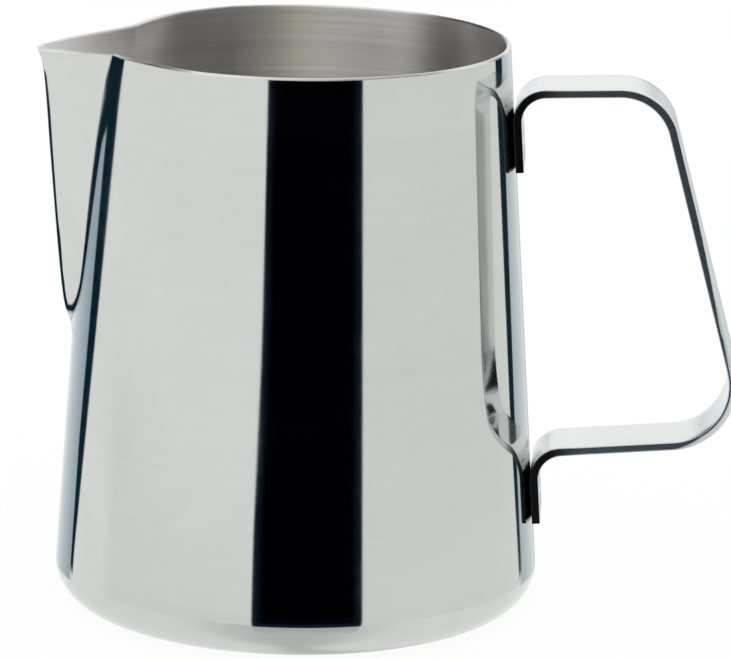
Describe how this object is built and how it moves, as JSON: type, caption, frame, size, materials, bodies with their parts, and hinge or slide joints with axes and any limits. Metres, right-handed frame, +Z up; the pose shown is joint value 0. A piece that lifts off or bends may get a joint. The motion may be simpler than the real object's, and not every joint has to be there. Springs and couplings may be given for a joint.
{
  "type": "milk jug",
  "caption": "Tapered stainless steel milk jug with a flat base, a V-shaped pouring spout with a flared lip, and an open strip handle spot-welded to its back.",
  "frame": {"origin": "centre of the flat base, on the axis of the tapered body", "axes": "+Z up along the body axis, spout towards -X, handle towards +X, spout and handle in the XZ plane"},
  "size_m": [0.1316, 0.091, 0.1066],
  "materials": {
    "body_steel": "mirror polished outside, satin inside",
    "spout_steel": "mirror polished outside, satin inside",
    "handle_steel": "polished",
    "weld_steel": "dressed weld metal"
  },
  "bodies": {
    "root": {"body": "body_steel", "spout": "spout_steel", "spout_weld_bead": "weld_steel", "handle": "handle_steel", "upper_handle_welds": "weld_steel", "lower_handle_welds": "weld_steel"}
  },
  "joints": []
}
